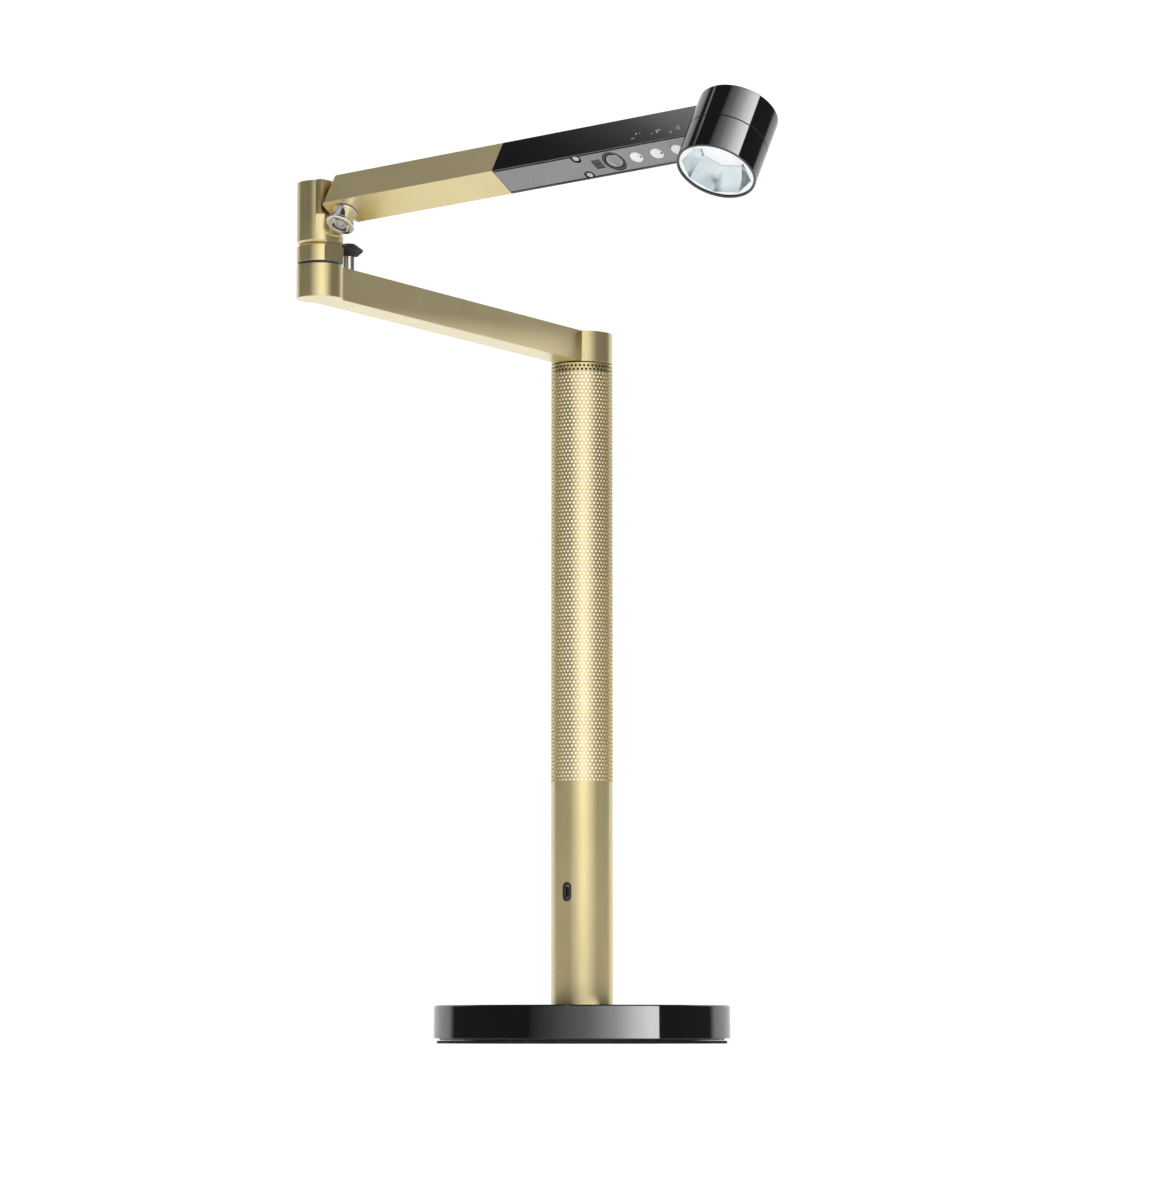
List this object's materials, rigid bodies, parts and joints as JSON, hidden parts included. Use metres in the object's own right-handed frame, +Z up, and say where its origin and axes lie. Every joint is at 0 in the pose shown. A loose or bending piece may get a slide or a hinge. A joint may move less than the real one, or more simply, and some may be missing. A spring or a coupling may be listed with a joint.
{
  "type": "desk lamp",
  "caption": "Desk lamp with a round weighted base, a perforated light column, two swinging arms, a rolling lamp head, push buttons and a USB-C port.",
  "frame": {"origin": "centre of the base's underside, on the pole's axis", "axes": "+Z up along the pole; at rest the lower arm points towards -X and -Y and the upper arm towards +X and -Y"},
  "size_m": [0.3178, 0.6773, 0.6018],
  "materials": {
    "satin_brass": "satin brass-coloured anodised",
    "gloss_black_shell": "polished black",
    "black_rubber": "matt",
    "black_plastic": "matt black",
    "steel": "brushed",
    "iron_weight": "rough cast",
    "bright_metal": "polished",
    "contact_pin": "bright",
    "circuit_board": "solder mask",
    "white_diffuser": "milky",
    "machined_aluminium": "machined",
    "satin_grey_plate": "satin grey",
    "clear_lens": "clear moulded",
    "copper_pipe": "bright copper",
    "mirror_reflector": "metallised",
    "led_phosphor": "phosphor coat"
  },
  "bodies": {
    "base_and_pole": {"base_pad": "black_rubber", "base_plate": "black_plastic", "base_shell": "gloss_black_shell", "base_weight": "iron_weight", "driver_board": "circuit_board", "pole_hub": "steel", "pole_nut": "steel", "power_inlet": "black_plastic", "inlet_pin": "contact_pin", "plate_screw_1": "steel", "plate_screw_2": "steel", "plate_screw_3": "steel", "pole_tube": "satin_brass", "pole_core": "steel", "light_guide": "white_diffuser", "pole_light_board": "circuit_board", "pole_plug": "machined_aluminium", "port_bezel": "black_plastic", "port_shell": "bright_metal", "port_tongue": "black_plastic"},
    "lower_arm": {"lower_arm_beam": "satin_brass", "lower_arm_cover": "satin_brass", "dock_window": "gloss_black_shell", "arm_harness": "black_plastic", "swing_axle": "steel", "swing_washer": "black_plastic", "swing_circlip": "steel", "elbow_washer": "black_plastic", "stop_stud": "bright_metal", "stop_cap": "black_rubber"},
    "elbow": {"elbow_collar": "satin_brass", "elbow_post": "satin_brass", "elbow_spindle": "steel"},
    "upper_arm": {"upper_arm_tube": "satin_brass", "roll_spindle": "steel", "roll_washer": "black_plastic", "clamp_knob": "bright_metal", "clamp_bolt": "steel", "head_housing": "gloss_black_shell", "control_plate": "satin_grey_plate", "plate_screw_near": "steel", "plate_screw_far": "steel", "sensor_window": "gloss_black_shell", "sensor_dish": "black_plastic", "sensor_lens": "clear_lens", "button_mat": "black_rubber", "control_board": "circuit_board", "heat_pipe": "copper_pipe", "head_barrel_upper": "gloss_black_shell", "head_barrel_lower": "gloss_black_shell", "head_joint_ring": "black_plastic", "heat_sink": "machined_aluminium", "reflector": "mirror_reflector", "led_diffuser": "white_diffuser", "led_module": "led_phosphor"},
    "button_dimmer": {"button_dimmer": "white_diffuser"},
    "button_presence": {"button_presence": "white_diffuser"},
    "button_tone": {"button_tone": "white_diffuser"}
  },
  "joints": [
    {"name": "lower_arm_swing", "type": "hinge", "parent": "base_and_pole", "child": "lower_arm", "pos_m": [0, 0, 0.5], "axis": [0, 0, 1], "range_deg": [-180, 180]},
    {"name": "elbow_swing", "type": "hinge", "parent": "lower_arm", "child": "elbow", "pos_m": [-0.17862, -0.30506, 0.53], "axis": [0, 0, 1], "range_deg": [-180, 60]},
    {"name": "upper_arm_roll", "type": "hinge", "parent": "elbow", "child": "upper_arm", "pos_m": [-0.17862, -0.30506, 0.57], "axis": [0.7738, -0.6329, 0.0239], "range_deg": [-149, 210]},
    {"name": "button_dimmer_press", "type": "slide", "parent": "upper_arm", "child": "button_dimmer", "axis": [0.3064, 0.4072, 0.8604], "range_m": [0, 0.0004], "stiffness_N_per_m": 500, "springref_m": -0.0002},
    {"name": "button_presence_press", "type": "slide", "parent": "upper_arm", "child": "button_presence", "axis": [0.3064, 0.4072, 0.8604], "range_m": [0, 0.0004], "stiffness_N_per_m": 500, "springref_m": -0.0002},
    {"name": "button_tone_press", "type": "slide", "parent": "upper_arm", "child": "button_tone", "axis": [0.3064, 0.4072, 0.8604], "range_m": [0, 0.0004], "stiffness_N_per_m": 500, "springref_m": -0.0002}
  ]
}
